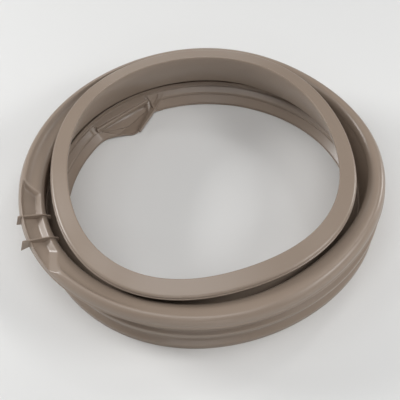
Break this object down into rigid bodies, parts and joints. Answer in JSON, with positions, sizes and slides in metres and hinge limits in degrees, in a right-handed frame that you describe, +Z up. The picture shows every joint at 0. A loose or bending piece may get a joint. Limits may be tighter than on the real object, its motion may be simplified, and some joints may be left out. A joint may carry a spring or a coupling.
{
  "type": "washing machine door seal",
  "caption": "Round bellows seal that closes the gap between a front-loading washing machine's door and its tub, with a door lip, a rolled fold and a clamp groove.",
  "frame": {"origin": "on the floor under the middle of the seal, at the foot flange's flat face", "axes": "+Z up out of the mouth, from the tub end towards the door lip; +X to the right and +Y to the back, seen from the side of the picture's viewer"},
  "size_m": [0.4098, 0.3872, 0.092],
  "materials": {
    "rubber": "satin, taupe grey"
  },
  "bodies": {
    "root": {"door_seal": "rubber"}
  },
  "joints": []
}
